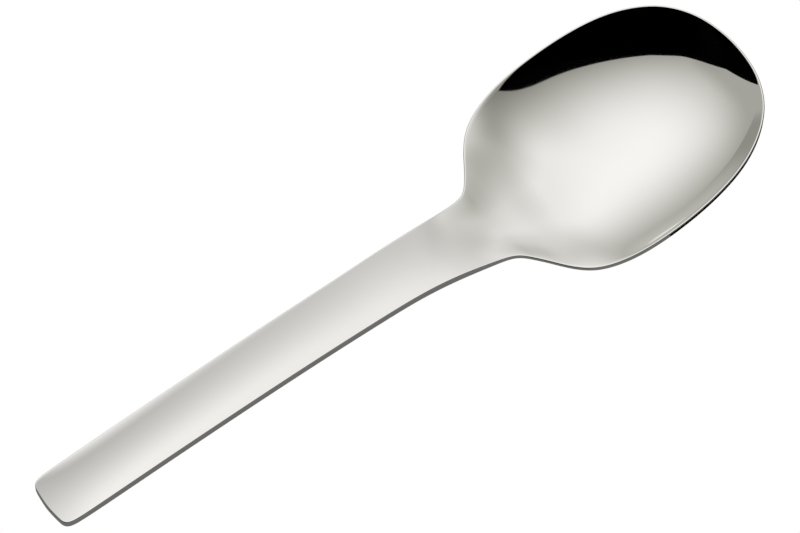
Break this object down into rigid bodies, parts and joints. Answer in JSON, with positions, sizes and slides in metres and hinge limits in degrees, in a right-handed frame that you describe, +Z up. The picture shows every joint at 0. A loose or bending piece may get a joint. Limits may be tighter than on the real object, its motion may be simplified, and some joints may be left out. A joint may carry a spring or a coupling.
{
  "type": "serving spoon",
  "caption": "Serving spoon with a flat straight handle, a dipped neck and a wide open bowl, in polished steel.",
  "frame": {"origin": "on the table, under the middle of the spoon's overall box; the spoon stands on its handle end and the bottom of its bowl", "axes": "+X along the spoon towards the tip of the bowl, +Z up, out of the open bowl, Y across, with the spoon mirrored about y = 0"},
  "size_m": [0.24, 0.0732, 0.0273],
  "materials": {
    "polished_steel": "mirror polished stainless steel"
  },
  "bodies": {
    "root": {"spoon": "polished_steel"}
  },
  "joints": []
}
